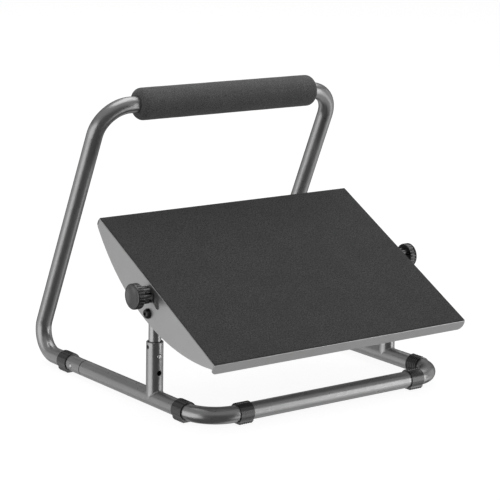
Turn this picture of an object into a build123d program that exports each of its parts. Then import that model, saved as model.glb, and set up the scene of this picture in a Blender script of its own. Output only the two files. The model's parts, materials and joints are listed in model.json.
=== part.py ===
from build123d import *
import math
import os

# An adjustable slant board: a bent-tube floor frame with a padded hand bar, and a steel
# tray on two telescopic posts. Millimetres. X across, Y from front to back, Z up from the
# floor. The origin is under the middle of the whole object.

# ---- tube frame ----
tube_r = 12.7
tube_wall = 1.5
tube_inner_r = tube_r - tube_wall
sole_depth = 2.8
tube_z = tube_r + sole_depth
side_x = 225.25
front_bend = 50.9
rear_bend = 36.0
top_bend = 50.0
base_length = 465.5
leg_lean = 185.5
bar_rise = 413.0
leg_top_x = 222.15

# ---- swaged joint between the two frame tubes ----
seam_from_front = 320.0
seam_gap = 0.8
swage_r = tube_inner_r - 0.1
swage_length = 50.0
handle_button_from_front = 345.0

# ---- tray ----
tray_width = 475.4
tray_length = 339.2
sheet = 1.5
mat_thickness = 1.5
mat_inset = 0.7
pivot_depth = 44.0
pivot_forward = 3.5
flange_arc_r = 336.5
flange_arc_back = 4.4
flange_depth = 57.3
lip_depth = 18.4
lip_overhang = 0.7
lip_corner_r = 9.0
corner_gap = 0.5
bend_r = 1.4
tilt = 28.0
tilt_travel = 56.0
mat_corner_r = 1.5
mat_edge_r = 0.6
lip_shoulder = 3.3
lip_ease = 1.0
slot_short = 2.2

# ---- posts ----
post_from_front = 130.0
rim_height = 86.8
rim_bevel = 0.7
pivot_height = 130.0
knob_above_pivot = 28.7
inner_post_r = 9.5
inner_post_wall = 1.5
inner_post_bottom = 45.0
inner_post_top = 167.7
upper_hole_height = 65.6
hole_spacing = 25.0
nub_hole_height = 79.4
button_hole_r = 4.0
nub_hole_r = 3.0
saddle_gap = 0.03
weld_up_post = 1.3
weld_start = 3.0
weld_along_tube = 1.0
bush_length = 20.0
bush_recess = 0.6
bush_gap = 0.02
bush_relief = 1.5
nub_recess = 0.8
weld_reach = 40.0
cap_plug = 4.0
cap_head = 1.3
spacer_start = 5.0
spacer_half_width = 7.0
spacer_below = 8.0
spacer_above = 7.0
fit_gap = 0.05
overcut = 1.0

# ---- fasteners, M8 ----
bolt_r = 4.0
bolt_head_r = 7.0
bolt_head_height = 4.2
bolt_head_dome = 3.2
socket_across = 5.0
socket_depth = 2.6
nut_across = 13.0
nut_height = 6.5
washer_r = 8.0
washer_thick = 1.6
bolt_washer_r = 7.8
rub_gap = 0.1
clamp_washer_r = 12.0
clamp_washer_thick = 2.0
slot_play = 2.2
screw_tail = 2.5

# ---- knobs ----
knob_r = 19.2
knob_face_out = 29.0
knob_head_thick = 12.0
knob_edge_r = 2.0
knob_flutes = 24
flute_r = 1.9
flute_outside = 0.55
flute_stop = 2.2
hub_core_r = 9.0
hub_lobe_centre_r = 8.6
hub_lobe_r = 4.6
hub_lobes = 6
hub_lobe_turn = 10.0
screw_embed = 6.0
dish_r = 15.0
dish_depth = 2.0
dish_sphere_r = (dish_r ** 2 + dish_depth ** 2) / (2 * dish_depth)

# ---- snap buttons ----
snap_button_r = 3.7
snap_proud = 0.5
snap_shoulder_r = 4.6
snap_shoulder_thick = 1.0
snap_shoulder_gap = 0.3
snap_dome_r = 1.6
spring_strip = 0.5
spring_width = 6.0
spring_reach = 30.0
spring_tail = 5.0
spring_fold_r = 3.0

# ---- foot clips ----
clip_length = 24.0
clip_band_r = 14.2
clip_pad_r = 14.7
clip_rib_r = tube_r + sole_depth
clip_half_width = 10.6
clip_corner_cut = 2.9
rib_pitch = 4.0
rib_width = 2.2
rib_count = 6
clip_split = 1.0
clip_split_turn = 30.0
corner_ease = 0.2
side_clip_from_front = 55.5
rear_clip_from_front = 371.0
front_clip_x = {"left": 159.5, "right": 166.5}

# ---- hand grip ----
grip_r = 25.0
grip_left_end = -160.5
grip_right_end = 174.0
grip_end_r = 10.0

# ---- positions worked out from the above ----
leg_run = math.hypot(leg_lean, bar_rise)
leg_turn = math.acos(-leg_lean / leg_run)
rear_reach = base_length - rear_bend * math.tan(leg_turn / 2) + rear_bend + tube_r
tray_back = tray_length / 2 + pivot_forward
tray_front = tray_back - tray_length
sheet_top = pivot_depth - mat_thickness
sine = math.sin(math.radians(tilt))
cosine = math.cos(math.radians(tilt))
nose_along = tray_front + mat_inset + mat_edge_r
nose_up = pivot_depth - mat_edge_r
front_reach = post_from_front + nose_along * cosine - nose_up * sine - mat_edge_r
front_tube_y = -(front_reach + rear_reach) / 2
post_y = front_tube_y + post_from_front
pivot_z = tube_z + pivot_height
knob_z = pivot_z + knob_above_pivot
flange_x = tray_width / 2
bar_y = front_tube_y + base_length - leg_lean
bar_z = tube_z + bar_rise
SIDES = {"left": -1, "right": 1}


def bent_path(corners, bends):
    """Straight runs through the corners, with an arc of the given radius at each inner one."""
    points = [Vector(*corner) for corner in corners]
    edges = []
    start = points[0]
    for before, corner, after, radius in zip(points, points[1:], points[2:], bends):
        back = (before - corner).normalized()
        ahead = (after - corner).normalized()
        half = math.radians(back.get_angle(ahead)) / 2
        reach = radius / math.tan(half)
        to_arc = radius / math.sin(half) - radius
        arc_start = corner + back * reach
        arc_middle = corner + (back + ahead).normalized() * to_arc
        arc_end = corner + ahead * reach
        edges.append(Line(start, arc_start))
        edges.append(ThreePointArc(arc_start, arc_middle, arc_end))
        start = arc_end
    edges.append(Line(start, points[-1]))
    return Wire(edges)


def pipe(corners, bends, radius):
    """A solid round bar that follows the bent path."""
    path = bent_path(corners, bends)
    start = Plane(origin=path @ 0, z_dir=path % 0)
    return sweep(start * Circle(radius), path=path)


def rod(start, end, radius):
    """A straight round bar between two points."""
    line = Vector(*end) - Vector(*start)
    plane = Plane(origin=start, z_dir=line)
    return extrude(plane * Circle(radius), line.length)


def box(low, high):
    """A box between two opposite corners."""
    size = [b - a for a, b in zip(low, high)]
    middle = [(a + b) / 2 for a, b in zip(low, high)]
    return Pos(*middle) * Box(*size)


def cross_rod(side, near, far, y, z, radius):
    """A round bar along X on one side, between two distances from the middle."""
    return rod((side * near, y, z), (side * far, y, z), radius)


def from_front(distance):
    """The Y of a place at the given distance behind the front tube's centreline."""
    return front_tube_y + distance


# ---- frame tubes ----

def base_corners(end):
    """Corners of the U-shaped floor tube, from one rear end to the other."""
    back = from_front(end)
    return [
        (-side_x, back, tube_z),
        (-side_x, front_tube_y, tube_z),
        (side_x, front_tube_y, tube_z),
        (side_x, back, tube_z),
    ]


def base_tube():
    """The U-shaped floor tube with a reduced, swaged spigot at each rear end."""
    bends = [front_bend, front_bend]
    full_end = seam_from_front - seam_gap / 2
    spigot_end = seam_from_front + swage_length
    tube = pipe(base_corners(full_end), bends, tube_r)
    for side in SIDES.values():
        start = (side * side_x, from_front(full_end), tube_z)
        end = (side * side_x, from_front(spigot_end), tube_z)
        tube += rod(start, end, swage_r)
    tube -= pipe(base_corners(spigot_end), bends, swage_r - tube_wall)
    for side in SIDES.values():
        tube -= handle_button_hole(side)
    return tube


def handle_button_hole(side):
    """The hole in the outer face of a side tube for the button that locks the two tubes."""
    y = from_front(handle_button_from_front)
    return cross_rod(side, side_x, side_x + 2 * tube_r, y, tube_z, button_hole_r)


def handle_corners():
    """Corners of the hand bar's tube, from one seam up and over to the other."""
    start = from_front(seam_from_front + seam_gap / 2)
    foot = from_front(base_length)
    return [
        (-side_x, start, tube_z),
        (-side_x, foot, tube_z),
        (-leg_top_x, bar_y, bar_z),
        (leg_top_x, bar_y, bar_z),
        (side_x, foot, tube_z),
        (side_x, start, tube_z),
    ]


def handle_tube():
    """The tube that slides over the spigots, bends up and carries the hand bar."""
    bends = [rear_bend, top_bend, top_bend, rear_bend]
    tube = pipe(handle_corners(), bends, tube_r)
    tube -= pipe(handle_corners(), bends, tube_inner_r)
    for side in SIDES.values():
        tube -= handle_button_hole(side)
    return tube


def foam_grip():
    """The foam sleeve on the bar, with rounded ends; it sits a little to the right."""
    start = (grip_left_end, bar_y, bar_z)
    end = (grip_right_end, bar_y, bar_z)
    sleeve = rod(start, end, grip_r)
    sleeve = fillet(sleeve.edges().filter_by(GeomType.CIRCLE), grip_end_r)
    return sleeve - rod(start, end, tube_r + fit_gap)


# ---- outer posts ----

def post_rod(side, low, high, radius):
    """A vertical round bar on a post's axis, between two heights above the tube's centre."""
    x = side * side_x
    return rod((x, post_y, tube_z + low), (x, post_y, tube_z + high), radius)


def front_hole(side, height, radius):
    """A hole in the front face of a post, at a height above the tube's centre."""
    x = side * side_x
    z = tube_z + height
    return rod((x, post_y - 2 * tube_r, z), (x, post_y, z), radius)


def side_tube_bar(side, radius):
    """A stretch of bar on a side tube's axis, round the post."""
    x = side * side_x
    return rod((x, post_y - weld_reach, tube_z), (x, post_y + weld_reach, tube_z), radius)


def outer_post(side):
    """The post welded on the side tube, with a saddle cut, two height holes and a nub hole.

    Its rim is bevelled, which keeps it clear of the flange when the tray is low and tipped.
    """
    post = post_rod(side, 0, rim_height, tube_r)
    post = chamfer(post.edges().group_by(Axis.Z)[-1], rim_bevel)
    post -= post_rod(side, -overcut, rim_height + overcut, tube_inner_r)
    post -= side_tube_bar(side, tube_r + saddle_gap)
    post -= front_hole(side, upper_hole_height, button_hole_r)
    post -= front_hole(side, upper_hole_height - hole_spacing, button_hole_r)
    z = tube_z + nub_hole_height
    return post - cross_rod(side, side_x, side_x + 2 * tube_r, post_y, z, nub_hole_r)


def weld_bead(side):
    """The fillet weld that runs round the foot of an outer post."""
    bead = post_rod(side, weld_start, weld_reach, tube_r + weld_along_tube)
    bead &= side_tube_bar(side, tube_r + weld_up_post)
    bead -= side_tube_bar(side, tube_r + saddle_gap)
    return bead - post_rod(side, -overcut, weld_reach + overcut, tube_r)


def post_bush(side):
    """The plastic guide in the mouth of an outer post, held by a nub in the side hole."""
    top = rim_height - bush_recess
    bush = post_rod(side, top - bush_length, top, tube_inner_r - bush_gap)
    z = tube_z + nub_hole_height
    nub_end = side_x + tube_r - nub_recess
    bush += cross_rod(side, side_x, nub_end, post_y, z, nub_hole_r - fit_gap)
    bush -= post_rod(side, 0, rim_height + overcut, inner_post_r + fit_gap)
    return bush - front_hole(side, upper_hole_height, button_hole_r + bush_relief)


# ---- foot clips ----

def clip_half_disc(radius):
    """The inboard half of a disc in the clip's cross-section."""
    return Plane.XZ * (Circle(radius) & Pos(radius / 2 - 1, 0) * Rectangle(radius + 2, 3 * radius))


def clip_block(bottom):
    """The flat-bottomed block under the tube in the clip's cross-section, corners cut."""
    half = clip_half_width
    cut = clip_corner_cut
    corners = [
        (-half, 0),
        (-half, -bottom + cut),
        (-half + cut, -bottom),
        (half - cut, -bottom),
        (half, -bottom + cut),
        (half, 0),
    ]
    return Plane.XZ * make_face(Polyline(corners, close=True))


def clip_slab(profile, start, length):
    """A slice of the clip, from a profile, along the tube."""
    return extrude(Pos(0, start, 0) * profile, -length)


def foot_clip():
    """One snap-on foot: a smooth band outboard, a ribbed pad under the tube and inboard."""
    start = -clip_length / 2
    clip = clip_slab(Plane.XZ * Circle(clip_band_r), start, clip_length)
    clip += clip_slab(clip_half_disc(clip_pad_r), start, clip_length)
    clip += clip_slab(clip_block(clip_pad_r), start, clip_length)
    for number in range(rib_count):
        rib_y = (number - (rib_count - 1) / 2) * rib_pitch - rib_width / 2
        clip += clip_slab(clip_half_disc(clip_rib_r), rib_y, rib_width)
        clip += clip_slab(clip_block(clip_rib_r), rib_y, rib_width)
    end = -start + overcut
    clip -= rod((0, -end, 0), (0, end, 0), tube_r + fit_gap)
    split = box((tube_inner_r, -end, -clip_split / 2), (clip_rib_r + overcut, end, clip_split / 2))
    return clip - Rot(0, clip_split_turn, 0) * split


def corner_bar(side):
    """The floor tube's front corner on one side as a solid bar, a little oversize."""
    corners = [
        (side * side_x, from_front(seam_from_front / 2), tube_z),
        (side * side_x, front_tube_y, tube_z),
        (side * side_x / 2, front_tube_y, tube_z),
    ]
    return pipe(corners, [front_bend], tube_r + corner_ease)


def clip_places():
    """Where each clip sits: its name, its place and its turn about the vertical."""
    places = {}
    for name, side in SIDES.items():
        turn = 0 if side < 0 else 180
        x = side * side_x
        places["foot_clip_rear_" + name] = (x, from_front(rear_clip_from_front), turn)
        places["foot_clip_side_" + name] = (x, from_front(side_clip_from_front), turn)
        places["foot_clip_front_" + name] = (side * front_clip_x[name], front_tube_y, 90)
    return places


# ---- inner posts and what is on them ----

def inner_post(side):
    """The telescopic post, drilled for the pivot bolt, the knob screw and the snap button."""
    post = post_rod(side, inner_post_bottom, inner_post_top, inner_post_r)
    post -= post_rod(side, 0, inner_post_top + overcut, inner_post_r - inner_post_wall)
    for z in (pivot_z, knob_z):
        post -= cross_rod(side, side_x - tube_r, side_x + tube_r, post_y, z, bolt_r + fit_gap)
    return post - front_hole(side, upper_hole_height, snap_button_r + fit_gap)


def post_cap(side):
    """The plastic plug in the top of an inner post."""
    bore = inner_post_r - inner_post_wall
    plug = post_rod(side, inner_post_top - cap_plug, inner_post_top, bore - bush_gap)
    return plug + post_rod(side, inner_post_top, inner_post_top + cap_head, inner_post_r)


def saddle_spacer(side):
    """The plastic pad between a post and the tray's flange, hollowed to fit the post."""
    near = side * (side_x + spacer_start)
    far = side * (flange_x - sheet - rub_gap)
    low = (min(near, far), post_y - spacer_half_width, pivot_z - spacer_below)
    high = (max(near, far), post_y + spacer_half_width, knob_z + spacer_above)
    pad = box(low, high) - post_rod(side, 0, knob_z, inner_post_r + fit_gap)
    for z in (pivot_z, knob_z):
        pad -= cross_rod(side, side_x, flange_x, post_y, z, bolt_r + fit_gap)
    return pad


def inner_washer(side, z):
    """The steel washer between a post and its nut."""
    far = side_x - inner_post_r
    near = far - washer_thick
    disc = cross_rod(side, near, far, post_y, z, washer_r)
    return disc - cross_rod(side, near - overcut, far + overcut, post_y, z, bolt_r + fit_gap)


def hexagon(side, x, z, across):
    """A hexagon across a bolt's axis."""
    plane = Plane(origin=(side * x, post_y, z), z_dir=(side, 0, 0))
    return plane * RegularPolygon(across / 2, 6, major_radius=False)


def lock_nut(side, z):
    """The nut on the inboard side of a post."""
    far = side_x - inner_post_r - washer_thick
    nut = extrude(hexagon(side, far, z, nut_across), -nut_height)
    return nut - cross_rod(side, shank_end(), far + overcut, post_y, z, bolt_r + fit_gap)


def shank_end():
    """How far from the middle the inboard end of a bolt is."""
    return side_x - inner_post_r - washer_thick - nut_height - screw_tail


def bolt_washer(side):
    """The black washer between a pivot bolt's head and the flange."""
    near = flange_x + rub_gap
    far = near + washer_thick
    disc = cross_rod(side, near, far, post_y, pivot_z, bolt_washer_r)
    return disc - cross_rod(side, near - overcut, far + overcut, post_y, pivot_z, bolt_r + fit_gap)


def pivot_bolt(side):
    """The button-head bolt that the tray turns on."""
    under_head = flange_x + rub_gap + washer_thick
    top = under_head + bolt_head_height
    head = cross_rod(side, under_head, top, post_y, pivot_z, bolt_head_r)
    dome_edge = head.edges().filter_by(GeomType.CIRCLE).sort_by(Axis.X)[-1 if side > 0 else 0]
    head = fillet(dome_edge, bolt_head_dome)
    head -= extrude(hexagon(side, top, pivot_z, socket_across), -socket_depth)
    return head + cross_rod(side, shank_end(), under_head, post_y, pivot_z, bolt_r)


# ---- knobs ----

def clamp_washer(side):
    """The washer that a knob presses on the flange."""
    near = flange_x + rub_gap
    far = near + clamp_washer_thick
    disc = cross_rod(side, near, far, post_y, knob_z, clamp_washer_r)
    return disc - cross_rod(side, near - overcut, far + overcut, post_y, knob_z, bolt_r + fit_gap)


def around(count, radius, turn=0.0):
    """Points evenly spaced on a circle, as pairs, the first one at the given turn."""
    steps = [math.radians(turn + 360 * number / count) for number in range(count)]
    return [(radius * math.cos(angle), radius * math.sin(angle)) for angle in steps]


def knob(side):
    """The moulded knob: a fluted head with a dished face on a lobed hub."""
    near = flange_x + rub_gap + clamp_washer_thick + fit_gap
    far = flange_x + knob_face_out
    back = far - knob_head_thick
    head = cross_rod(side, back, far, post_y, knob_z, knob_r)
    head = fillet(head.edges().filter_by(GeomType.CIRCLE), knob_edge_r)
    for dy, dz in around(knob_flutes, knob_r + flute_outside):
        head -= cross_rod(side, back - overcut, far - flute_stop, post_y + dy, knob_z + dz, flute_r)
    hub_end = back + overcut
    hub = cross_rod(side, near, hub_end, post_y, knob_z, hub_core_r)
    for dy, dz in around(hub_lobes, hub_lobe_centre_r, hub_lobe_turn):
        hub += cross_rod(side, near, hub_end, post_y + dy, knob_z + dz, hub_lobe_r)
    body = head + hub
    body -= cross_rod(side, near - overcut, back + screw_embed, post_y, knob_z, bolt_r)
    dish_x = side * (far - dish_depth + dish_sphere_r)
    return body - Pos(dish_x, post_y, knob_z) * Sphere(dish_sphere_r)


def knob_screw(side):
    """The steel screw moulded into a knob."""
    far = flange_x + knob_face_out - knob_head_thick + screw_embed
    return cross_rod(side, shank_end(), far, post_y, knob_z, bolt_r)


# ---- snap buttons ----

def shoulder_height(bore_r):
    """How far from a tube's axis the top of a button's shoulder stops, inside its bore."""
    return math.sqrt(bore_r ** 2 - snap_shoulder_r ** 2) - snap_shoulder_gap


def snap_button(origin, outward, bore_r, shell_r):
    """A domed button that stands in the bore of one tube and through the shell of another."""
    shoulder_top = shoulder_height(bore_r)
    plane = Plane(origin=origin, z_dir=outward)
    length = shell_r + snap_proud - shoulder_top
    pin = extrude(plane.offset(shoulder_top) * Circle(snap_button_r), length)
    pin = fillet(pin.edges().filter_by(GeomType.CIRCLE).sort_by_distance(origin)[-1], snap_dome_r)
    foot = plane.offset(shoulder_top - snap_shoulder_thick) * Circle(snap_shoulder_r)
    return pin + extrude(foot, snap_shoulder_thick)


def snap_spring(origin, outward, along, bore_r):
    """The folded strip behind a button, bearing on the far wall of the bore."""
    front = shoulder_height(bore_r) - snap_shoulder_thick - fit_gap - spring_strip / 2
    back = -math.sqrt(bore_r ** 2 - (spring_width / 2) ** 2) + spring_strip / 2 + fit_gap
    fold_start = spring_reach - spring_fold_r
    plane = Plane(origin=origin, x_dir=along, z_dir=Vector(*outward).cross(Vector(*along)))
    fold_end = (fold_start, spring_fold_r)
    leg = Line((-spring_tail, -front), (fold_start, -spring_fold_r))
    fold = ThreePointArc((fold_start, -spring_fold_r), (spring_reach, 0), fold_end)
    heel = Line(fold_end, (-spring_tail, -back))
    strip = offset(Wire([leg, fold, heel]), spring_strip / 2, side=Side.BOTH)
    return extrude(plane * make_face(strip), spring_width / 2, both=True)


def height_button_origin(side):
    """Where a height button's axis crosses its post's axis."""
    return (side * side_x, post_y, tube_z + upper_hole_height)


def handle_button_origin(side):
    """Where a handle button's axis crosses the side tube's axis."""
    return (side * side_x, from_front(handle_button_from_front), tube_z)


# ---- tray, modelled level with the pivot at its origin, X across, Y to the rear ----

def flange_outline():
    """The side flange: straight along the top, with one long arc below."""
    arc_y = pivot_forward + flange_arc_back
    arc_z = pivot_depth - flange_depth + flange_arc_r
    front = tray_front + sheet + corner_gap
    back = tray_back - sheet - corner_gap

    def arc_height(y):
        return arc_z - math.sqrt(flange_arc_r ** 2 - (y - arc_y) ** 2)

    low = (arc_y, arc_z - flange_arc_r)
    top = sheet_top - sheet / 2
    edges = [
        Line((front, top), (back, top)),
        Line((back, top), (back, arc_height(back))),
        ThreePointArc((back, arc_height(back)), low, (front, arc_height(front))),
        Line((front, arc_height(front)), (front, top)),
    ]
    return make_face(edges)


def slot_outline():
    """The slot that the knob screw rides in: an arc round the pivot, wider than the screw."""
    start = 90 - tilt
    half = bolt_r + slot_play
    low = start + slot_short
    high = start + tilt_travel - slot_short
    points = []
    for angle in (low, (low + high) / 2, high):
        turn = math.radians(angle)
        points.append((knob_above_pivot * math.cos(turn), knob_above_pivot * math.sin(turn)))
    return SlotArc(ThreePointArc(*points), 2 * half)


def lip_outline(depth, corner_r):
    """A front or rear lip seen along the tray: full width, eased at the top, round below."""
    half = tray_width / 2
    wide = half + lip_overhang
    top = sheet_top - sheet / 2
    bottom = pivot_depth - depth
    shoulder = top - lip_shoulder
    corner = corner_r * (1 - math.sqrt(0.5))
    right = [
        Line((half - lip_ease, top), (wide, shoulder)),
        Line((wide, shoulder), (wide, bottom + corner_r)),
        ThreePointArc(
            (wide, bottom + corner_r), (wide - corner, bottom + corner), (wide - corner_r, bottom)
        ),
    ]
    left = [edge.mirror(Plane.YZ) for edge in right]
    top_line = Line((-half + lip_ease, top), (half - lip_ease, top))
    bottom_line = Line((-wide + corner_r, bottom), (wide - corner_r, bottom))
    return make_face(right + left + [top_line, bottom_line])


def level_tray():
    """The tray before it is tilted: a folded sheet with flanges and lips."""
    half = tray_width / 2
    tray = box((-half, tray_front, sheet_top - sheet), (half, tray_back, sheet_top))
    edges = tray.faces().sort_by(Axis.Z)[-1].edges()
    tray = fillet(edges, bend_r)
    flange = Plane.YZ * flange_outline() - Plane.YZ * slot_outline()
    flange -= Plane.YZ * Circle(bolt_r + fit_gap)
    for side in SIDES.values():
        tray += Pos(side * (half - sheet / 2), 0, 0) * extrude(flange, sheet / 2, both=True)
    lip = Plane.XZ * lip_outline(lip_depth, lip_corner_r)
    tray += Pos(0, tray_front, 0) * extrude(lip, -sheet)
    tray += Pos(0, tray_back - sheet, 0) * extrude(lip, -sheet)
    return tray


def level_mat():
    """The anti-slip mat bonded on the tray, with softened edges."""
    half = tray_width / 2 - mat_inset
    low = (-half, tray_front + mat_inset, sheet_top)
    high = (half, tray_back - mat_inset, pivot_depth)
    mat = box(low, high)
    mat = fillet(mat.edges().filter_by(Axis.Z), mat_corner_r)
    return fillet(mat.faces().sort_by(Axis.Z)[-1].edges(), mat_edge_r)


def placed(level):
    """A level piece of the tray, tilted and set on the pivot."""
    return Pos(0, post_y, pivot_z) * Rot(tilt, 0, 0) * level


def left_and_right(name, make):
    """One node for each side."""
    return {name + "_" + word: make(side) for word, side in SIDES.items()}


def grouped(*makers):
    """Identical fasteners as one node of separate solids."""
    return Compound([make(side) for make in makers for side in SIDES.values()])


def all_parts():
    """Every node of the object, by name."""
    parts = {
        "base_tube": base_tube(),
        "handle_tube": handle_tube(),
        "foam_grip": foam_grip(),
        "tray": placed(level_tray()),
        "anti_slip_mat": placed(level_mat()),
        "pivot_bolts": grouped(pivot_bolt),
        "bolt_washers": grouped(bolt_washer),
        "post_washers": grouped(lambda s: inner_washer(s, pivot_z), lambda s: inner_washer(s, knob_z)),
        "lock_nuts": grouped(lambda s: lock_nut(s, pivot_z), lambda s: lock_nut(s, knob_z)),
    }
    parts |= left_and_right("outer_post", outer_post)
    parts |= left_and_right("weld_bead", weld_bead)
    parts |= left_and_right("post_bush", post_bush)
    parts |= left_and_right("inner_post", inner_post)
    parts |= left_and_right("post_cap", post_cap)
    parts |= left_and_right("saddle_spacer", saddle_spacer)
    parts |= left_and_right("clamp_washer", clamp_washer)
    parts |= left_and_right("knob", knob)
    parts |= left_and_right("knob_screw", knob_screw)
    bore = inner_post_r - inner_post_wall
    spigot_bore = swage_r - tube_wall
    for word, side in SIDES.items():
        post = height_button_origin(side)
        joint = handle_button_origin(side)
        out = (side, 0, 0)
        parts["height_button_" + word] = snap_button(post, (0, -1, 0), bore, tube_r)
        parts["height_spring_" + word] = snap_spring(post, (0, -1, 0), (0, 0, 1), bore)
        parts["handle_button_" + word] = snap_button(joint, out, spigot_bore, tube_r)
        parts["handle_spring_" + word] = snap_spring(joint, out, (0, -1, 0), spigot_bore)
    clip = foot_clip()
    for name, (x, y, turn) in clip_places().items():
        parts[name] = Pos(x, y, tube_z) * Rot(0, 0, turn) * clip
        if "rear" not in name:
            parts[name] -= corner_bar(SIDES["left" if x < 0 else "right"])
    return parts


os.makedirs("parts", exist_ok=True)
for node, shape in all_parts().items():
    export_step(shape, "parts/" + node + ".step")
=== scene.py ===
"""Looks for an adjustable slant board: a mat-covered steel tray in a bent-tube frame.

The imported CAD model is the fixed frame. This script gives every node a procedural
material, and builds the soft and the finely detailed pieces: the foam grip, the mat
and the weld beads. Metres throughout.
"""

import json
import math

import bmesh
import bpy
from mathutils import Matrix, Vector, noise

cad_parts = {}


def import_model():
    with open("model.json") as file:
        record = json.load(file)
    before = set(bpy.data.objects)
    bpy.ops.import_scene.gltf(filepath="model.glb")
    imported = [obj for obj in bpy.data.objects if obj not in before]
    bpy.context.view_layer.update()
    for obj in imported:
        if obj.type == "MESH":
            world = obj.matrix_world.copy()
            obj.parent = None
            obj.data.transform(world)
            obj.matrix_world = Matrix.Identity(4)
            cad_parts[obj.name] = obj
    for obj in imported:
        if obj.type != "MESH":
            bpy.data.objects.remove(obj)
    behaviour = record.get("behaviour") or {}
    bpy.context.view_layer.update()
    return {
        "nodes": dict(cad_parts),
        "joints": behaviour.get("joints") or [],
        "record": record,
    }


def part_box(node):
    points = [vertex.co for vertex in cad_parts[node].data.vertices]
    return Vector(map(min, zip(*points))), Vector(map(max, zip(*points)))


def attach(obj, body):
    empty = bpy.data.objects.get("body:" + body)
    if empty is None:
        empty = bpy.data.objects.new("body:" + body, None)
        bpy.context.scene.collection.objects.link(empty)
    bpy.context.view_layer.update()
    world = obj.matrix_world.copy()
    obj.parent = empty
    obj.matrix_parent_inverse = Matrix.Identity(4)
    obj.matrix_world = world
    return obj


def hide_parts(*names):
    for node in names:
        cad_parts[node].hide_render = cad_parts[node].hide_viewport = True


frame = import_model()
record = frame["record"]
nodes = frame["nodes"]

SIDES = ("left", "right")
MM = 0.001

# ---- camera ----
CAMERA_LENS = 143.02
CAMERA_SENSOR = 36.0
CAMERA_AZIMUTH = -37.05
CAMERA_ELEVATION = 12.315
CAMERA_ROLL = 1.12
CAMERA_PLACE = Vector((-1.8136, -2.41214, 0.8567))


# =====================================================================
# places worked out from the frame
# =====================================================================

def joint_place(name):
    """A joint's position in the row frame."""
    joint = next(j for j in frame["joints"] if j["name"] == name)
    return Vector(joint["pos_m"])


def mount_axis(name):
    """A mount's outward direction."""
    mount = next(m for m in record["mounts"] if m["name"] == name)
    return Vector(mount["axis"])


pivot = joint_place("tilt")
tray_up = mount_axis("tray_top")
tray_tilt = math.atan2(-tray_up.y, tray_up.z)
tray_frame = Matrix.Translation(pivot) @ Matrix.Rotation(tray_tilt, 4, "X")


def local_box(node, matrix):
    """Lowest and highest corners of a node's vertices, seen in another frame."""
    back = matrix.inverted()
    points = [back @ v.co for v in nodes[node].data.vertices]
    low = Vector(min(p[i] for p in points) for i in range(3))
    high = Vector(max(p[i] for p in points) for i in range(3))
    return low, high


def post_axis(side_word):
    """The x and y of a post's axis, and the outer post's radius."""
    low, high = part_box("outer_post_" + side_word)
    middle = (low + high) / 2
    return middle.x, middle.y, (high.y - low.y) / 2


# =====================================================================
# node-building helpers
# =====================================================================

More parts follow.
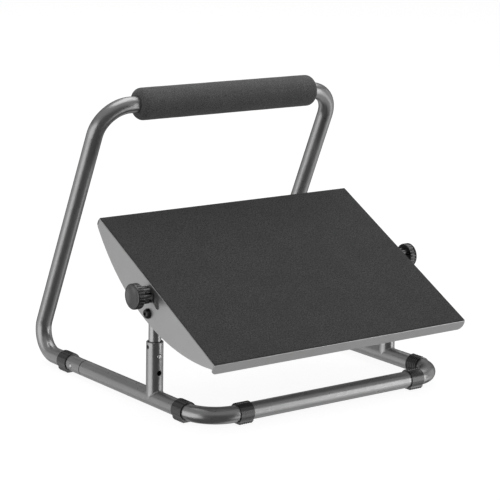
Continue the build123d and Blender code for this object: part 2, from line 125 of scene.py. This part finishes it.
class Shader:
    """A node tree for one material, with short calls for the nodes used here."""

    def __init__(self, name):
        self.material = bpy.data.materials.new(name)
        self.material.use_nodes = True
        self.nodes = self.material.node_tree.nodes
        self.links = self.material.node_tree.links
        self.principled = self.nodes["Principled BSDF"]
        coordinates = self.nodes.new("ShaderNodeTexCoord")
        self.place = coordinates.outputs["Object"]

    def link(self, output, socket):
        self.links.new(output, socket)

    def socket(self, name, value):
        """A fixed value on one of the shader's own sockets."""
        self.principled.inputs[name].default_value = value

    def stretched(self, stretch):
        """Object coordinates scaled along each axis, so that a pattern runs one way."""
        node = self.nodes.new("ShaderNodeMapping")
        node.inputs["Scale"].default_value = stretch
        self.link(self.place, node.inputs["Vector"])
        return node.outputs["Vector"]

    def noise(self, per_metre, detail, roughness=0.5, place=None):
        """Soft random patches, about this many to a metre, from 0 to 1."""
        node = self.nodes.new("ShaderNodeTexNoise")
        node.inputs["Scale"].default_value = per_metre
        node.inputs["Detail"].default_value = detail
        node.inputs["Roughness"].default_value = roughness
        self.link(place or self.place, node.inputs["Vector"])
        return node.outputs["Fac"]

    def cells(self, per_metre, output="Distance"):
        """Small random cells: the distance to a cell's centre, or a colour for each cell."""
        node = self.nodes.new("ShaderNodeTexVoronoi")
        node.inputs["Scale"].default_value = per_metre
        self.link(self.place, node.inputs["Vector"])
        return node.outputs[output]

    def ramp(self, value, low, high, out_low=0.0, out_high=1.0):
        """value's range from low to high, spread over out_low to out_high and held outside."""
        node = self.nodes.new("ShaderNodeMapRange")
        node.inputs["From Min"].default_value = low
        node.inputs["From Max"].default_value = high
        node.inputs["To Min"].default_value = out_low
        node.inputs["To Max"].default_value = out_high
        self.link(value, node.inputs["Value"])
        return node.outputs["Result"]

    def blend(self, amount, first, second):
        """A colour between two, by amount. Either may be a colour or an output."""
        node = self.nodes.new("ShaderNodeMix")
        node.data_type = "RGBA"
        self.link(amount, node.inputs["Factor"])
        for value, socket in ((first, node.inputs[6]), (second, node.inputs[7])):
            if isinstance(value, tuple):
                socket.default_value = (*value, 1.0)
            else:
                self.link(value, socket)
        return node.outputs[2]

    def add(self, first, second, share=1.0):
        """first + share x second."""
        node = self.nodes.new("ShaderNodeMath")
        node.operation = "MULTIPLY_ADD"
        self.link(second, node.inputs[0])
        node.inputs[1].default_value = share
        self.link(first, node.inputs[2])
        return node.outputs[0]

    def times(self, first, second):
        """first x second."""
        node = self.nodes.new("ShaderNodeMath")
        node.operation = "MULTIPLY"
        self.link(first, node.inputs[0])
        self.link(second, node.inputs[1])
        return node.outputs[0]

    def distance(self, letter, place):
        """How far a point is from the plane at this place along an axis."""
        parts = self.nodes.new("ShaderNodeSeparateXYZ")
        self.link(self.place, parts.inputs["Vector"])
        offset = self.nodes.new("ShaderNodeMath")
        offset.operation = "SUBTRACT"
        self.link(parts.outputs[letter], offset.inputs[0])
        offset.inputs[1].default_value = place
        size = self.nodes.new("ShaderNodeMath")
        size.operation = "ABSOLUTE"
        self.link(offset.outputs[0], size.inputs[0])
        return size.outputs[0]

    def colour(self, output):
        """The shader's base colour."""
        self.link(output, self.principled.inputs["Base Color"])

    def rough(self, output):
        """The shader's roughness."""
        self.link(output, self.principled.inputs["Roughness"])

    def bump(self, height, depth, strength):
        """Relief of this depth in metres, from a height between 0 and 1."""
        node = self.nodes.new("ShaderNodeBump")
        node.inputs["Strength"].default_value = strength
        node.inputs["Distance"].default_value = depth
        self.link(height, node.inputs["Height"])
        self.link(node.outputs["Normal"], self.principled.inputs["Normal"])


def grey(value, warmth=0.0):
    """A neutral colour, warmer above zero."""
    return (value * (1 + warmth), value, value * (1 - warmth))


# =====================================================================
# materials
# =====================================================================

SPIGOT_LENGTH = 50 * MM
SEAM_HALF = 0.95 * MM
SEAM_FADE = 0.25 * MM
# Near-black of the seam band: bare cut steel, and painted shade of the gap and the tube ends.
SEAM_BARE_AND_SHADOW_GREY = 0.012
FLAKES_PER_METRE = 1900
FLAKE_SHARE = 0.05
PEEL_PER_METRE = 300
PEEL_DEPTH = 0.03 * MM


def metallic_paint(name, light, dark, rough_low, rough_high, seam=None):
    """Satin metallic powder coat: fine flakes, faint clouding and an orange-peel skin.

    Around the seams between the two frame tubes, given by their y and the top of the
    tubes, a dark band is painted: partly the bare cut steel where the paint ends, partly painted
    shade in the gap and on the tube ends beside it.
    """
    s = Shader(name)
    clouds = s.noise(14, detail=3)
    flakes = s.cells(FLAKES_PER_METRE, output="Color")
    body = s.blend(s.ramp(clouds, 0.3, 0.7), grey(dark), grey(light))
    sparkle = s.blend(s.ramp(flakes, 0.0, 1.0, 0.0, FLAKE_SHARE), body, grey(light * 1.7))
    if seam is not None:
        y, top = seam
        beside = s.distance("Y", y)
        above = s.distance("Z", 0.0)
        # The seam band: bare steel where the paint ends, plus painted shade in the gap and on the
        # tube ends beside it, only below the tubes' top.
        bare_and_shaded = s.ramp(beside, SEAM_HALF, SEAM_HALF - SEAM_FADE)
        low = s.ramp(above, top + SEAM_FADE, top)
        sparkle = s.blend(s.times(bare_and_shaded, low), sparkle, grey(SEAM_BARE_AND_SHADOW_GREY))
    s.colour(sparkle)
    s.rough(s.ramp(s.noise(160, detail=3), 0.3, 0.7, rough_low, rough_high))
    s.socket("Metallic", 0.88)
    s.bump(s.noise(PEEL_PER_METRE, detail=1), PEEL_DEPTH, 0.12)
    return s.material


def foam_material():
    """Closed-cell foam: charcoal, matt, with a skin of fine pores."""
    s = Shader("closed_cell_foam")
    grain = s.noise(700, detail=4, roughness=0.65)
    patches = s.noise(35, detail=2)
    speckled = s.blend(s.ramp(grain, 0.34, 0.66), grey(0.065), grey(0.245))
    s.colour(s.blend(s.ramp(patches, 0.35, 0.65, 0.0, 0.22), speckled, grey(0.09)))
    s.rough(s.ramp(grain, 0.3, 0.7, 0.93, 0.8))
    s.socket("Specular IOR Level", 0.25)
    s.socket("Sheen Weight", 0.12)
    s.socket("Sheen Roughness", 0.6)
    pores = s.ramp(s.cells(900), 0.0, 0.45)
    s.bump(s.add(pores, grain, 0.8), 0.22 * MM, 0.5)
    return s.material


MAT_STRETCH = (1.0, 0.55, 0.55)


def mat_material():
    """Anti-slip mat: charcoal rubber foam with a fine, slightly streaked grain."""
    s = Shader("anti_slip_rubber")
    along_tray = s.stretched(MAT_STRETCH)
    grain = s.noise(820, detail=3, roughness=0.62, place=along_tray)
    patches = s.noise(22, detail=3)
    speckled = s.blend(s.ramp(grain, 0.36, 0.64), grey(0.042), grey(0.104))
    s.colour(s.blend(s.ramp(patches, 0.35, 0.65, 0.0, 0.25), speckled, grey(0.05)))
    s.rough(s.ramp(grain, 0.3, 0.7, 0.9, 0.72))
    s.socket("Specular IOR Level", 0.3)
    s.bump(s.add(grain, s.noise(1500, detail=2), 0.5), 0.18 * MM, 0.5)
    return s.material


PLASTIC_GRAIN = 700


def moulded_plastic(name, shade, rough_low, rough_high, index=1.8, gloss=1.0):
    """Satin moulded plastic with a fine spark-eroded grain."""
    s = Shader(name)
    clouds = s.noise(60, detail=3)
    s.colour(s.blend(s.ramp(clouds, 0.3, 0.7), grey(shade * 0.85), grey(shade * 1.2)))
    grain = s.noise(PLASTIC_GRAIN, detail=2)
    s.rough(s.ramp(grain, 0.3, 0.7, rough_low, rough_high))
    s.socket("Specular IOR Level", gloss)
    s.socket("IOR", index)
    s.bump(grain, 0.02 * MM, 0.3)
    return s.material


def bare_steel(name, shade, rough_low, rough_high, warmth=0.0):
    """Plated or bright steel with fine drawn lines and faint staining."""
    s = Shader(name)
    lines = s.noise(900, detail=3, place=s.stretched((0.15, 1.0, 1.0)))
    stains = s.noise(120, detail=4)
    s.colour(s.blend(s.ramp(stains, 0.35, 0.65), grey(shade * 0.82, warmth), grey(shade, warmth)))
    s.rough(s.ramp(lines, 0.3, 0.7, rough_low, rough_high))
    s.socket("Metallic", 1.0)
    s.bump(lines, 0.02 * MM, 0.4)
    return s.material


def black_oxide():
    """Blackened steel, a little worn, on the pivot bolts and the washers."""
    s = Shader("black_oxide_steel")
    wear = s.noise(420, detail=4)
    s.colour(s.blend(s.ramp(wear, 0.45, 0.75), grey(0.07), grey(0.14)))
    s.rough(s.ramp(wear, 0.3, 0.7, 0.26, 0.36))
    s.socket("Metallic", 0.8)
    s.bump(s.noise(1800, detail=2), 0.03 * MM, 0.4)
    return s.material


base_tube_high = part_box("base_tube")[1]
seam_place = (base_tube_high.y - SPIGOT_LENGTH, base_tube_high.z)
paint_frame = metallic_paint("frame_powder_coat", 0.47, 0.43, 0.27, 0.34, seam_place)
paint_post = metallic_paint("inner_post_powder_coat", 0.52, 0.48, 0.27, 0.34)
paint_tray = metallic_paint("tray_powder_coat", 0.6, 0.57, 0.32, 0.38)
foam = foam_material()
rubber = mat_material()
plastic_clip = moulded_plastic("clip_plastic", 0.008, 0.22, 0.28, index=1.65)
plastic_knob = moulded_plastic("knob_plastic", 0.009, 0.24, 0.32, index=1.65)
plastic_guide = moulded_plastic("guide_plastic", 0.015, 0.4, 0.55, index=1.5, gloss=0.5)
zinc = bare_steel("zinc_plated_steel", 0.62, 0.26, 0.4, 0.01)
bright = bare_steel("bright_chromed_steel", 0.95, 0.1, 0.18)
spring_steel = bare_steel("spring_steel", 0.45, 0.3, 0.42)
black_bolt = black_oxide()

SLOT_MATERIALS = {
    "tray_paint": paint_tray,
    "frame_paint": paint_frame,
    "post_paint": paint_post,
    "foam": foam,
    "mat": rubber,
    "clip_plastic": plastic_clip,
    "zinc_steel": zinc,
    "bright_steel": bright,
    "spring_steel": spring_steel,
    "black_steel": black_bolt,
    "knob_plastic": plastic_knob,
    "guide_plastic": plastic_guide,
}


def dress_cad_nodes():
    """Every CAD node takes the material of its record slot."""
    for part in record["subparts"]:
        node = nodes[part["node"]]
        node.data.materials.clear()
        node.data.materials.append(SLOT_MATERIALS[part["material_slot"]])


dress_cad_nodes()


# =====================================================================
# mesh helpers
# =====================================================================

def new_piece(name, mesh, body, material):
    """A named object with a material, riding on a CAD body."""
    piece = bpy.data.objects.new(name, mesh)
    bpy.context.scene.collection.objects.link(piece)
    mesh.materials.append(material)
    for face in mesh.polygons:
        face.use_smooth = True
    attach(piece, body)
    return piece


def rings_to_mesh(name, rings, caps):
    """A skin over a list of closed rings of points, with or without flat ends."""
    mesh = bpy.data.meshes.new(name)
    count = len(rings[0])
    points = [p for ring in rings for p in ring]
    faces = []
    for start in range(0, count * (len(rings) - 1), count):
        for k in range(count):
            n = (k + 1) % count
            faces.append((start + k, start + n, start + count + n, start + count + k))
    if caps:
        faces.append(tuple(reversed(range(count))))
        faces.append(tuple(range(len(points) - count, len(points))))
    mesh.from_pydata(points, [], faces)
    work = bmesh.new()
    work.from_mesh(mesh)
    bmesh.ops.recalc_face_normals(work, faces=work.faces)
    work.to_mesh(mesh)
    work.free()
    return mesh


def subdivided(piece):
    """Gives a piece one level of subdivision surface."""
    modifier = piece.modifiers.new("smooth", "SUBSURF")
    modifier.levels = 1
    modifier.render_levels = 1


# =====================================================================
# foam grip
# =====================================================================

GRIP_AROUND = 96
GRIP_SHOULDER = 10 * MM
GRIP_SHOULDER_STEPS = 9
GRIP_STEP = 3.2 * MM
GRIP_UNEVEN = 0.16 * MM
GRIP_LIP = 0.8 * MM
GRIP_MOUTH = 0.6 * MM
GRIP_PLAY = 0.05 * MM
GRIP_SMOOTH_RIM = 2 * MM
GRIP_PATCHES = 45


def grip_profile(length, radius, bore):
    """Pairs of distance from the left end and radius, from the bore out and back in."""
    shoulder = [(GRIP_MOUTH, bore), (0.0, bore + GRIP_LIP)]
    for k in range(GRIP_SHOULDER_STEPS + 1):
        turn = math.pi / 2 * k / GRIP_SHOULDER_STEPS
        along = GRIP_SHOULDER * (1 - math.cos(turn))
        out = radius - GRIP_SHOULDER + GRIP_SHOULDER * math.sin(turn)
        shoulder.append((along, out))
    straight = length - 2 * GRIP_SHOULDER
    steps = round(straight / GRIP_STEP)
    middle = [(GRIP_SHOULDER + straight * k / steps, radius) for k in range(1, steps)]
    right = [(length - along, out) for along, out in reversed(shoulder)]
    return shoulder + middle + right


def foam_grip():
    """The foam sleeve: round shoulders, a tight bore and a faintly uneven skin."""
    low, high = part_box("foam_grip")
    tube_radius = post_axis("left")[2]
    axis = (low + high) / 2
    radius = (high.z - low.z) / 2 - GRIP_UNEVEN
    rings = []
    for along, out in grip_profile(high.x - low.x, radius, tube_radius + GRIP_PLAY):
        ring = []
        for k in range(GRIP_AROUND):
            turn = 2 * math.pi * k / GRIP_AROUND
            way = Vector((0, math.cos(turn), math.sin(turn)))
            place = Vector((low.x + along, axis.y, axis.z)) + way * out
            if out > tube_radius + GRIP_SMOOTH_RIM:
                place += way * GRIP_UNEVEN * noise.noise(place * GRIP_PATCHES)
            ring.append(place)
        rings.append(ring)
    mesh = rings_to_mesh("foam_sleeve", rings, caps=False)
    piece = new_piece("foam_sleeve", mesh, "frame", foam)
    subdivided(piece)
    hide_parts("foam_grip")


# =====================================================================
# mat
# =====================================================================

MAT_STEP = 2.6 * MM
MAT_EDGE = 0.75 * MM
MAT_EDGE_SHARES = (0.0, 0.08, 0.3, 0.6, 1.0)
MAT_UNEVEN = 0.045 * MM
MAT_SMOOTH_RIM = 2 * MM
MAT_PATCHES = 60
MAT_SLICE = 0.3


def mat_spacing(half):
    """Positions from one edge to the other, close together in the rolled edge."""
    count = round(2 * half / MAT_STEP)
    inside = 2 * half - 2 * MAT_EDGE
    edge = [-half + MAT_EDGE * share for share in MAT_EDGE_SHARES]
    inner = [-half + MAT_EDGE + inside * k / count for k in range(1, count)]
    return edge + inner + [-v for v in reversed(edge)]


def mat_drop(room):
    """How far the top has rolled down, this far in from the border."""
    if room >= MAT_EDGE:
        return 0.0
    lean = 1 - room / MAT_EDGE
    return MAT_EDGE * (1 - math.sqrt(max(0.0, 1 - lean * lean)))


def mat_rise(x, y, room):
    """The unevenness of the top, none near the border."""
    if room <= MAT_SMOOTH_RIM:
        return 0.0
    return MAT_UNEVEN * noise.noise(Vector((x * MAT_PATCHES, y * MAT_PATCHES, MAT_SLICE)))


def mat_top(work, middle, half_x, half_y, height):
    """The vertices of the mat's top, as rows from front to rear."""
    grid = []
    for y in mat_spacing(half_y):
        row = []
        for x in mat_spacing(half_x):
            room = min(half_x - abs(x), half_y - abs(y))
            top = height - MAT_UNEVEN + mat_rise(x, y, room) - mat_drop(room)
            place = tray_frame @ Vector((middle.x + x, middle.y + y, top))
            row.append(work.verts.new(place))
        grid.append(row)
    return grid


def grid_rim(grid):
    """The border of a grid of vertices, once round."""
    front = grid[0]
    right = [row[-1] for row in grid[1:]]
    rear = grid[-1][-2::-1]
    left = [row[0] for row in grid[-2:0:-1]]
    return front + right + rear + left


def mat_sheet():
    """The mat: a slightly uneven sheet with a rolled top edge, bonded on the tray."""
    low, high = local_box("anti_slip_mat", tray_frame)
    middle = (low + high) / 2
    half_x = (high.x - low.x) / 2
    half_y = (high.y - low.y) / 2
    work = bmesh.new()
    grid = mat_top(work, middle, half_x, half_y, high.z)
    for near, far in zip(grid, grid[1:]):
        for c in range(len(near) - 1):
            work.faces.new((near[c], near[c + 1], far[c + 1], far[c]))
    rim = grid_rim(grid)
    down = tray_frame.to_3x3() @ Vector((0, 0, -1))
    drop = high.z - low.z - MAT_EDGE - MAT_UNEVEN
    foot = [work.verts.new(v.co + down * drop) for v in rim]
    for k in range(len(rim)):
        n = (k + 1) % len(rim)
        work.faces.new((rim[k], foot[k], foot[n], rim[n]))
    work.faces.new(foot)
    bmesh.ops.recalc_face_normals(work, faces=work.faces)
    mesh = bpy.data.meshes.new("mat_sheet")
    work.to_mesh(mesh)
    work.free()
    piece = new_piece("mat_sheet", mesh, "platform", rubber)
    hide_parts("anti_slip_mat")


# =====================================================================
# weld beads
# =====================================================================

BEAD_RADIUS = 1.35 * MM
BEAD_RIPPLE = 0.16
BEAD_PITCH = 1.3 * MM
BEAD_AROUND = 14
BEAD_STATIONS = 220
BEAD_FIRST_RISE = 3.0 * MM
BEAD_END_SIZE = 0.35
BEAD_OUT = 0.85
BEAD_ACROSS = 1.15


def bead_path(side_word, front):
    """Places along half of the joint of a post and its side tube, and the ways out of it."""
    x, y, radius = post_axis(side_word)
    tube_low, tube_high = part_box("base_tube")
    centre = Vector((x, y, (tube_low.z + tube_high.z) / 2))
    first = math.asin(BEAD_FIRST_RISE / radius)
    places = []
    outs = []
    for k in range(BEAD_STATIONS + 1):
        turn = first + (math.pi - 2 * first) * k / BEAD_STATIONS
        post_out = Vector((math.cos(turn), front * math.sin(turn), 0))
        tube_out = Vector((math.cos(turn), 0, math.sin(turn)))
        places.append(centre + post_out * radius + Vector((0, 0, radius * math.sin(turn))))
        outs.append((post_out + tube_out).normalized())
    return places, outs


def bead_size(station, run):
    """The bead's radius, rippled along its run and thinner towards both ends."""
    phase = (run / BEAD_PITCH) % 1.0
    ripple = 1 + BEAD_RIPPLE * (1 - phase) ** 2 - BEAD_RIPPLE / 2
    from_end = min(station, BEAD_STATIONS - station) / BEAD_STATIONS
    return BEAD_RADIUS * ripple * min(1.0, 4 * from_end + BEAD_END_SIZE)


def bead_ring(place, ahead, out, size):
    """A flattened ring round a place on the bead's path."""
    across = ahead.cross(out)
    ring = []
    for j in range(BEAD_AROUND):
        angle = 2 * math.pi * j / BEAD_AROUND
        offset = out * math.cos(angle) * BEAD_OUT + across * math.sin(angle) * BEAD_ACROSS
        ring.append(place + offset * size)
    return ring


def bead_rings(side_word, front):
    """Rings along one half of the saddle joint between a post and its side tube."""
    places, outs = bead_path(side_word, front)
    rings = []
    run = 0.0
    for k, place in enumerate(places):
        before = places[max(k - 1, 0)]
        after = places[min(k + 1, BEAD_STATIONS)]
        run += (place - before).length
        ahead = (after - before).normalized()
        out = (outs[k] - ahead * outs[k].dot(ahead)).normalized()
        rings.append(bead_ring(place, ahead, out, bead_size(k, run)))
    return rings


def weld_beads():
    """Rippled weld beads at the feet of both posts."""
    for word in SIDES:
        work = bmesh.new()
        for front in (-1, 1):
            half = rings_to_mesh("half", bead_rings(word, front), caps=True)
            work.from_mesh(half)
            bpy.data.meshes.remove(half)
        joined = bpy.data.meshes.new("weld_ripples_" + word)
        work.to_mesh(joined)
        work.free()
        piece = new_piece("weld_ripples_" + word, joined, "frame", paint_frame)
        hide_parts("weld_bead_" + word)


foam_grip()
mat_sheet()
weld_beads()


# =====================================================================
# stage: floor, lights, camera
# =====================================================================

FLOOR_RADIUS = 30.0
FLOOR_SEGMENTS = 96
FLOOR_DROP = 0.2 * MM
FLOOR_GLOW = 0.915
FLOOR_SHADE = 0.22
LIGHT_DISTANCE = 5.0
LIGHT_TARGET = Vector((0, 0, 0.2))
CAMERA_WHITE = 1.0
FILL_BELOW = 0.08
FILL_ABOVE = 0.3
FILL_RISE_START = 0.15
FILL_RISE_END = 0.5

# name: azimuth from +X, elevation, width, height (all in degrees), brightness
SOFTBOXES = {
    "left_box": (172, -10, 58, 44, 1.06),
    "left_upper_box": (166, 16, 44, 12, 0.4),
    "right_box": (315, -2, 24, 40, 1.7),
    "right_low_box": (318, -32, 50, 22, 0.7),
    "rear_right_box": (357, -8, 36, 50, 0.42),
    "rear_left_box": (122, -8, 40, 44, 0.42),
    "rear_low_box": (90, -40, 50, 36, 0.35),
    "low_box": (0, -62, 50, 36, 0.4),
    "rear_upper_box": (22, 54, 56, 26, 1.05),
    "top_box": (0, 88, 44, 44, 1.25),
}


def floor():
    """A plain white floor, bright to the camera, with soft shadows under the object.

    The object is lit by the boxes alone: some of them stand below the floor's level and
    play the part of the light that a white sweep throws back.
    """
    mesh = bpy.data.meshes.new("floor")
    work = bmesh.new()
    bmesh.ops.create_circle(
        work, cap_ends=True, segments=FLOOR_SEGMENTS, radius=FLOOR_RADIUS
    )
    work.to_mesh(mesh)
    work.free()
    plate = bpy.data.objects.new("floor", mesh)
    bpy.context.scene.collection.objects.link(plate)
    plate.location.z = -FLOOR_DROP
    plate.visible_diffuse = False
    plate.visible_glossy = False
    plate.visible_shadow = False
    plate.visible_transmission = False
    material = bpy.data.materials.new("floor")
    material.use_nodes = True
    shader = material.node_tree.nodes["Principled BSDF"]
    shader.inputs["Base Color"].default_value = (FLOOR_SHADE, FLOOR_SHADE, FLOOR_SHADE, 1)
    shader.inputs["Roughness"].default_value = 1.0
    shader.inputs["Specular IOR Level"].default_value = 0.0
    shader.inputs["Emission Color"].default_value = (1, 1, 1, 1)
    shader.inputs["Emission Strength"].default_value = FLOOR_GLOW
    mesh.materials.append(material)


def softbox(name, azimuth, elevation, width, height, brightness):
    """A large square light on a sphere round the object, facing it, sized in degrees."""
    turn, lift = math.radians(azimuth), math.radians(elevation)
    way = Vector((
        math.cos(turn) * math.cos(lift), math.sin(turn) * math.cos(lift), math.sin(lift)
    ))
    data = bpy.data.lights.new(name, "AREA")
    data.shape = "RECTANGLE"
    data.size = 2 * LIGHT_DISTANCE * math.tan(math.radians(width / 2))
    data.size_y = 2 * LIGHT_DISTANCE * math.tan(math.radians(height / 2))
    data.energy = brightness * data.size * data.size_y * math.pi
    light = bpy.data.objects.new(name, data)
    bpy.context.scene.collection.objects.link(light)
    light.location = LIGHT_TARGET + way * LIGHT_DISTANCE
    light.rotation_euler = (-way).to_track_quat("-Z", "Y").to_euler()
    light.visible_camera = False


def world():
    """White to the camera; a dim fill elsewhere, brighter above than below."""
    sky = bpy.data.worlds.new("studio")
    bpy.context.scene.world = sky
    sky.use_nodes = True
    tree = sky.node_tree
    background = tree.nodes["Background"]
    background.inputs["Color"].default_value = (1, 1, 1, 1)
    direction = tree.nodes.new("ShaderNodeTexCoord")
    height = tree.nodes.new("ShaderNodeSeparateXYZ")
    fill = tree.nodes.new("ShaderNodeMapRange")
    fill.inputs["From Min"].default_value = FILL_RISE_START
    fill.inputs["From Max"].default_value = FILL_RISE_END
    fill.inputs["To Min"].default_value = FILL_BELOW
    fill.inputs["To Max"].default_value = FILL_ABOVE
    path = tree.nodes.new("ShaderNodeLightPath")
    seen = tree.nodes.new("ShaderNodeMix")
    seen.inputs["B"].default_value = CAMERA_WHITE
    tree.links.new(direction.outputs["Generated"], height.inputs["Vector"])
    tree.links.new(height.outputs["Z"], fill.inputs["Value"])
    tree.links.new(path.outputs["Is Camera Ray"], seen.inputs["Factor"])
    tree.links.new(fill.outputs["Result"], seen.inputs["A"])
    tree.links.new(seen.outputs["Result"], background.inputs["Strength"])


def camera():
    """The camera, at its azimuth, elevation and roll."""
    data = bpy.data.cameras.new("camera")
    data.lens = CAMERA_LENS
    data.sensor_width = CAMERA_SENSOR
    data.clip_start = 0.05
    data.clip_end = 100
    view = bpy.data.objects.new("camera", data)
    bpy.context.scene.collection.objects.link(view)
    azimuth = math.radians(CAMERA_AZIMUTH)
    elevation = math.radians(CAMERA_ELEVATION)
    back = Vector((
        math.sin(azimuth) * math.cos(elevation),
        -math.cos(azimuth) * math.cos(elevation),
        math.sin(elevation),
    ))
    right = Vector((0, 0, 1)).cross(back).normalized()
    up = back.cross(right)
    turn = Matrix((right, up, back)).transposed().to_4x4()
    roll = Matrix.Rotation(math.radians(CAMERA_ROLL), 4, "Z")
    view.matrix_world = Matrix.Translation(CAMERA_PLACE) @ turn @ roll
    bpy.context.scene.camera = view


world()
floor()
for box_name, settings in SOFTBOXES.items():
    softbox(box_name, *settings)
camera()
bpy.context.scene.view_settings.view_transform = "Standard"
